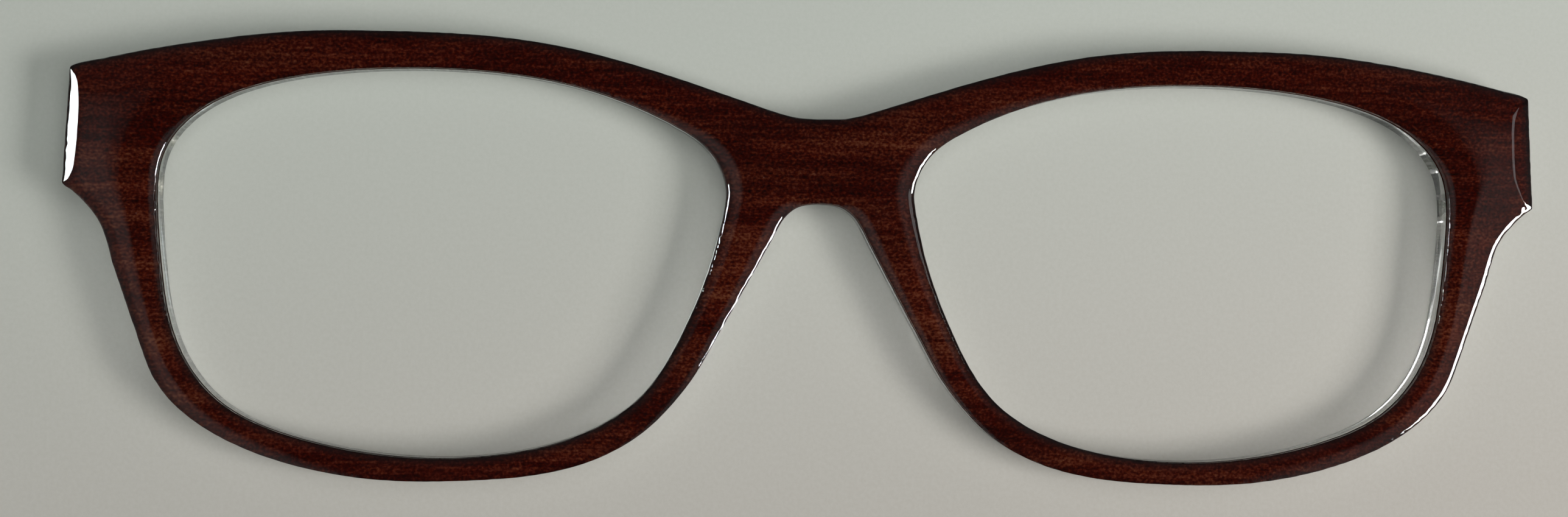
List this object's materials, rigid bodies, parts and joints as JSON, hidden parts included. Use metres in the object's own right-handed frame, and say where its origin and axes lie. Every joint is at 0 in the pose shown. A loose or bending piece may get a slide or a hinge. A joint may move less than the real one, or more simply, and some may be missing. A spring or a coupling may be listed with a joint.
{
  "type": "magnetic eyeglass topper",
  "caption": "Flat decorative eyeglass front in wood-grain print under domed clear resin, with lens openings and flush magnets that snap it over a pair of glasses.",
  "frame": {"origin": "middle of the front's outline, on its flat back face", "axes": "+X along the brow, towards the side that is on the right when the decorated face is seen upright; +Y up the wearer's face; +Z out of the decorated face"},
  "size_m": [0.1382, 0.0414, 0.0033],
  "materials": {
    "clear_acrylic": "clear cast acrylic, laser-cut, with polished edges",
    "printed_film": "dark reddish-brown wood-grain print on a white vinyl film",
    "clear_resin": "clear self-levelling resin, wet gloss, domed at the edges",
    "clear_adhesive": "clear cured adhesive",
    "nickel_plating": "satin nickel plating on a sintered disc magnet"
  },
  "bodies": {
    "root": {"base_plate": "clear_acrylic", "wood_grain_film": "printed_film", "resin_dome": "clear_resin", "magnet_adhesive": "clear_adhesive", "magnet_bridge": "nickel_plating", "magnet_right_upper": "nickel_plating", "magnet_right_lower": "nickel_plating", "magnet_left_upper": "nickel_plating", "magnet_left_lower": "nickel_plating"}
  },
  "joints": []
}
